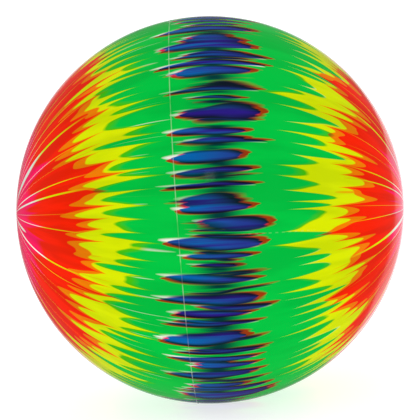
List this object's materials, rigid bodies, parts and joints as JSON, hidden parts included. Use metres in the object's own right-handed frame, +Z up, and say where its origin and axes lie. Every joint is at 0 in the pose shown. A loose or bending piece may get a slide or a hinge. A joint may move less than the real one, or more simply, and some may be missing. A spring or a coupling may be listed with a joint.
{
  "type": "beach ball",
  "caption": "Inflatable round ball of thin glossy vinyl moulded in one skin, printed with rainbow streaks, with a recessed valve seat and a push-in air plug.",
  "frame": {"origin": "centre of the ball", "axes": "+Z up, with the patch that the ball rests on facing -Z; X along the mould's axis, with the valve at -X"},
  "size_m": [0.2196, 0.219, 0.219],
  "materials": {
    "printed_vinyl": "gloss",
    "soft_vinyl": "satin",
    "white_plastic": "satin"
  },
  "bodies": {
    "ball": {"skin": "printed_vinyl", "valve_seat": "soft_vinyl"},
    "plug": {"air_plug": "white_plastic"}
  },
  "joints": [
    {"name": "plug_pull", "type": "slide", "parent": "ball", "child": "plug", "axis": [-1, 0, 0], "range_m": [0, 0.012]}
  ]
}
